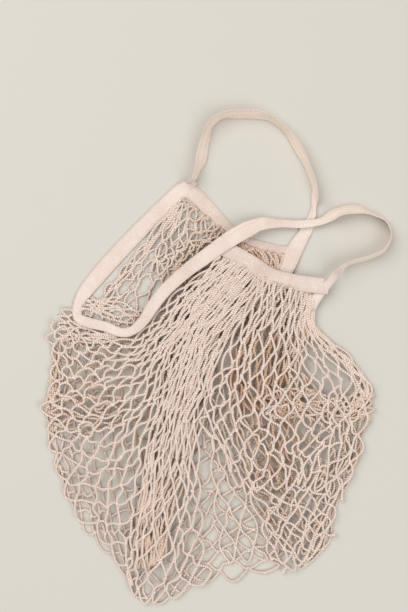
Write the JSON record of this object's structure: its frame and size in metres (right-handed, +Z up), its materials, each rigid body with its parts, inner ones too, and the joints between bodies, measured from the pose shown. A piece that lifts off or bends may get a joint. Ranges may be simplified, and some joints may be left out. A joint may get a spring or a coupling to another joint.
{
  "type": "string shopping bag",
  "caption": "Knotted cotton net shopping bag lying flat, with a woven strap round both arm openings and two long carrying loops.",
  "frame": {"origin": "on the ground, at the middle of the bag's whole outline as it lies", "axes": "+Z up from the ground, +Y from the bag's bottom towards its carrying loops, +X to the right as seen from above"},
  "size_m": [0.4391, 0.624, 0.024],
  "materials": {
    "net_cord": "matte twisted cotton cord",
    "knitted_band": "matte knitted cotton tape"
  },
  "bodies": {
    "root": {"net_body": "net_cord", "front_top_band": "knitted_band", "back_top_band": "knitted_band", "left_side_band": "knitted_band", "right_side_band": "knitted_band", "front_handle": "knitted_band", "back_handle": "knitted_band"}
  },
  "joints": []
}
